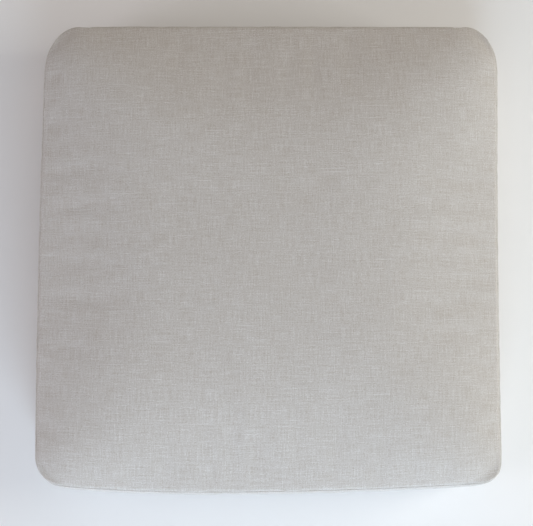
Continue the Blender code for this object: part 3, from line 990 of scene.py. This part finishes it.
def bridge_mesh(base_y, top_y):
    """The arch over the plate, cut from a bar: round shoulders outside, a round eye inside."""
    form = bmesh.new()
    rise = top_y - base_y
    outer, inner = [], []
    for n in range(17):
        turn = pi * n / 16
        x, y = copysign(abs(cos(turn)) ** 0.6, cos(turn)), sin(turn) ** 0.6
        outer.append((x * BRIDGE_HALF.x, y * rise))
        inner.append((x * (BRIDGE_HALF.x - BRIDGE_WALL), y * (rise - BRIDGE_WALL)))
    sides = []
    for off in (-BRIDGE_HALF.z, BRIDGE_HALF.z):
        ring = []
        for x, y in outer + list(reversed(inner)):
            ring.append(form.verts.new((PIVOT.x + x, base_y + y, PIVOT.z + off)))
        sides.append(ring)
    count = len(sides[0])
    for n in range(count):
        after = (n + 1) % count
        form.faces.new([sides[0][n], sides[0][after], sides[1][after], sides[1][n]])
    for ring in sides:
        for n in range(16):
            form.faces.new([ring[n], ring[n + 1], ring[count - 2 - n], ring[count - 1 - n]])
    bmesh.ops.recalc_face_normals(form, faces=form.faces)
    return as_mesh(form, "bridge")


def cast_slider():
    half_length, half_width = (slide_high.x - slide_low.x) / 2, (slide_high.z - slide_low.z) / 2
    inner_y = slide_low.y
    outer_y = PIVOT.y - PIN_OVER_PLATE
    plate = plate_outline(half_length, half_width)
    parts = [
        slab([plate], (PIVOT.x, outer_y - PLATE / 2, PIVOT.z), PLATE, PLATE_ROUND),
        slab([plate], (PIVOT.x, inner_y + PLATE / 2, PIVOT.z), PLATE, PLATE_ROUND),
        bridge_mesh(outer_y - PLATE_ROUND, slide_high.y),
    ]
    parts.append(slab([WEDGE], (PIVOT.x, (inner_y + outer_y) / 2, PIVOT.z), outer_y - inner_y - SHY))
    lip_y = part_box("zip_tape_upper")[1].y + LIP_CLEAR
    for side in (-1, 1):
        shares = [LIP_FROM + LIP_RUN * n / 12 for n in range(13)]
        outer = [(share * half_length, side * (plate_edge(share, half_width) - 0.0001)) for share in shares]
        lip = outer + [(x, z - side * LIP) for x, z in reversed(outer)]
        parts.append(slab([lip], (PIVOT.x, (lip_y + outer_y) / 2, PIVOT.z), outer_y - lip_y - SHY))
    form = bmesh.new()
    for part in parts:
        form.from_mesh(part)
    bmesh.ops.remove_doubles(form, verts=form.verts, dist=0.000001)
    casting = into_scene("zip_slider_cast", as_mesh(form, "zip_slider_cast"))
    fused = casting.modifiers.new("One casting", "REMESH")
    fused.mode = "VOXEL"
    fused.voxel_size = CASTING_GRAIN
    soft = casting.modifiers.new("Tumbled edges", "SMOOTH")
    soft.iterations = 3
    settle(casting)
    return casting


slider = cast_slider()
finish_with(slider, NICKEL)
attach(slider, "slider")
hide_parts("zip_slider")

# Pull tab. A stamped tab with a window at its head, closed round the slider's bridge so that it can
# swing, a waist below it and a few ridges for the fingers at its tail.

TAB_HEAD = 0.0005  # how far the tab reaches past its pivot
TAB_WAIST, WAIST_FROM = 0.0006, 0.0045
TAB_WINDOW = ((0.0005, -0.0015), (0.0041, -0.0015), (0.0041, 0.0015), (0.0005, 0.0015))
TAB_EDGE = 0.0002
TAB_RIDGES, RIDGE_FROM, RIDGE_PITCH = 5, 0.0042, 0.0016
RIDGE_HALF, RIDGE_RISE, RIDGE_SHORT, RIDGE_SUNK = 0.00035, 0.00022, 0.0010, 0.00005


def tab_outline(head, tail, half_width):
    """Square head, slim waist and a round tail."""
    points = [(head, -half_width), (head, half_width)]
    for n in range(1, 13):
        x = head + (tail - half_width - head) * n / 13
        down = (x - WAIST_FROM) / (tail - 2 * WAIST_FROM)
        points.append((x, half_width - TAB_WAIST * sin(pi * min(1.0, max(0.0, down))) ** 2))
    for n in range(17):
        turn = pi / 2 - pi * n / 16
        points.append((tail - half_width + half_width * cos(turn), half_width * sin(turn)))
    mirrored = [(x, -z) for x, z in reversed(points[2:14])]
    return points + mirrored


def stamp_tab():
    thickness = tab_high.y - tab_low.y
    tail = tab_high.x - tab_low.x - TAB_HEAD
    half_width = (tab_high.z - tab_low.z) / 2
    outline = tab_outline(-TAB_HEAD, tail, half_width)
    plate = slab([outline, TAB_WINDOW], (0, 0, 0), thickness, TAB_EDGE)
    form = bmesh.new()
    form.from_mesh(plate)
    for n in range(TAB_RIDGES):
        x = tail - RIDGE_FROM - RIDGE_PITCH * n
        for face in (-1, 1):
            shape = Matrix.Diagonal((RIDGE_HALF, RIDGE_RISE, half_width - RIDGE_SHORT, 1))
            matrix = Matrix.Translation((x, face * (thickness / 2 - RIDGE_SUNK), 0)) @ shape
            bmesh.ops.create_uvsphere(form, u_segments=16, v_segments=10, radius=1, matrix=matrix)
    bmesh.ops.remove_doubles(form, verts=form.verts, dist=0.000001)
    turn = Matrix.Translation(PIVOT) @ Matrix.Rotation(pi, 4, "Z")
    bmesh.ops.transform(form, matrix=turn, verts=form.verts)
    return as_mesh(form, "zip_pull_tab_stamped")


tab = into_scene("zip_pull_tab_stamped", stamp_tab())
finish_with(tab, NICKEL)
tab.data.set_sharp_from_angle(angle=radians(40))
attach(tab, "pull_tab")
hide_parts("zip_pull_tab")

# Care label. A blank strip of woven satin, its top edge caught in the seam inside the cover, below the zip.
# It is cut to the usual size of such labels and carries no lettering.

LABEL_CELLS = (24, 16)
LABEL_CURL, CURL_RUN = 0.0003, 0.012
LABEL_BACK, LABEL_THICK = 0.00025, 0.0002
SATIN_DARK, SATIN_PALE = (0.80, 0.79, 0.75, 1), (0.90, 0.89, 0.86, 1)


def satin_finish():
    made, tree, shader = new_finish("label_satin_weave")
    place = place_of(tree)
    floats = mottle(tree, place, (0.0018, 0.001, 0.00022), 2.0)
    shade = tinted(tree, between(tree, floats, 0.3, 0.7), SATIN_DARK, SATIN_PALE)
    feed(tree, shader.inputs["Base Color"], shade)
    feed(tree, shader.inputs["Roughness"], between(tree, floats, 0.3, 0.7, 0.5, 0.38))
    shader.inputs["Sheen Weight"].default_value = 0.2
    raised(tree, shader, floats, 0.00004)
    return made


label_low, label_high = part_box("care_label")
form = bmesh.new()
bmesh.ops.create_grid(form, x_segments=LABEL_CELLS[0], y_segments=LABEL_CELLS[1], size=1)
for point in form.verts:
    x = label_low.x + (label_high.x - label_low.x) * (point.co.x + 1) / 2
    z = label_low.z + (label_high.z - label_low.z) * (point.co.y + 1) / 2
    down = 1 - (z - label_low.z) / (label_high.z - label_low.z)
    curl = LABEL_CURL * sin((x - label_low.x) / CURL_RUN) * down
    point.co = (x, label_high.y - LABEL_BACK + curl, z)
label = into_scene("care_label_blank", as_mesh(form, "care_label_blank"))
face_out(label)
thick = label.modifiers.new("Ribbon thickness", "SOLIDIFY")
thick.thickness = LABEL_THICK
finish_with(label, satin_finish())
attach(label, "cushion")
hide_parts("care_label")

# Floor, lights and camera. A plain pale floor that runs on into a pale studio, a broad cool light in front,
# weaker ones at the sides and a faint warm one behind. The camera looks almost straight down.

FLOOR_PALE = (0.86, 0.86, 0.855, 1)
FLOOR_FADE = (0.7, 2.3)  # where the lit floor gives way to the studio's glow
STUDIO_WHITE = (1.0, 0.96, 0.92)
HORIZON_LIGHT, SKY_LIGHT = 0.74, 0.32
SKY_FADE = (0.04, 0.42)
FLOOR_SIZE, FLOOR_DROP = 30, 0.0004
LIGHT_SIZE, LIGHT_AIM = 1.3, Vector((0, 0, 0.1))
LIGHTS = (
    ("front", (0.3, -2.3, 1.0), 47, (0.67, 0.83, 1.0)),
    ("right", (2.2, 0.1, 1.0), 31.5, (1.0, 0.98, 0.91)),
    ("left", (-2.2, -0.8, 1.0), 16, (0.92, 0.87, 1.0)),
    ("back", (0.3, 2.2, 1.4), 2.5, (1.0, 0.58, 0.30)),
)


def floor_finish():
    made, tree, shader = new_finish("pale_floor")
    grain = mottle(tree, place_of(tree), (0.4, 0.4, 0.4))
    pale = tinted(tree, between(tree, grain, 0.3, 0.7, 0.0, 0.06), FLOOR_PALE, (0.80, 0.80, 0.79, 1))
    feed(tree, shader.inputs["Base Color"], pale)
    shader.inputs["Roughness"].default_value = 0.8
    away = tree.nodes.new("ShaderNodeVectorMath")
    away.operation = "LENGTH"
    feed(tree, away.inputs[0], place_of(tree))
    glow = tree.nodes.new("ShaderNodeEmission")
    glow.inputs["Color"].default_value = (*STUDIO_WHITE, 1)
    glow.inputs["Strength"].default_value = HORIZON_LIGHT
    blend = tree.nodes.new("ShaderNodeMixShader")
    feed(tree, blend.inputs[0], between(tree, away.outputs["Value"], *FLOOR_FADE))
    tree.links.new(shader.outputs[0], blend.inputs[1])
    tree.links.new(glow.outputs[0], blend.inputs[2])
    tree.links.new(blend.outputs[0], tree.nodes["Material Output"].inputs["Surface"])
    return made


def soft_light(name, place, power, colour):
    lamp = bpy.data.lights.new(name, "AREA")
    lamp.shape = "DISK"
    lamp.size = LIGHT_SIZE
    lamp.energy = power
    lamp.color = colour
    holder = into_scene(name, lamp)
    holder.location = place
    holder.rotation_euler = (LIGHT_AIM - Vector(place)).to_track_quat("-Z", "Y").to_euler()


bpy.ops.mesh.primitive_plane_add(size=FLOOR_SIZE)
floor = bpy.context.object
floor.name = "floor"
floor.location.z = -FLOOR_DROP
finish_with(floor, floor_finish())

for light in LIGHTS:
    soft_light(*light)
room = bpy.data.worlds.new("room")
room.use_nodes = True
backdrop = room.node_tree.nodes["Background"]
backdrop.inputs["Color"].default_value = (*STUDIO_WHITE, 1)
facing = room.node_tree.nodes.new("ShaderNodeTexCoord").outputs["Generated"]
height = room.node_tree.nodes.new("ShaderNodeSeparateXYZ")
feed(room.node_tree, height.inputs[0], facing)
glow = between(room.node_tree, height.outputs[2], *SKY_FADE, HORIZON_LIGHT, SKY_LIGHT)
feed(room.node_tree, backdrop.inputs["Strength"], glow)
bpy.context.scene.world = room
bpy.context.scene.view_settings.view_transform = "Standard"

CAMERA_TILT = radians(5.8)
CAMERA_AWAY = 1.75
CAMERA_ASIDE, CAMERA_DOWN = -0.0072, -0.0133
CAMERA_LENS = 91
eye = bpy.data.cameras.new("camera")
camera = into_scene("camera", eye)
aim = Vector((CAMERA_ASIDE, CAMERA_DOWN, TOP_SEAM))
camera.location = aim + Vector((0, -sin(CAMERA_TILT), cos(CAMERA_TILT))) * CAMERA_AWAY
camera.rotation_euler = (CAMERA_TILT, 0, 0)
eye.lens = CAMERA_LENS
eye.clip_start = 0.01
bpy.context.scene.camera = camera
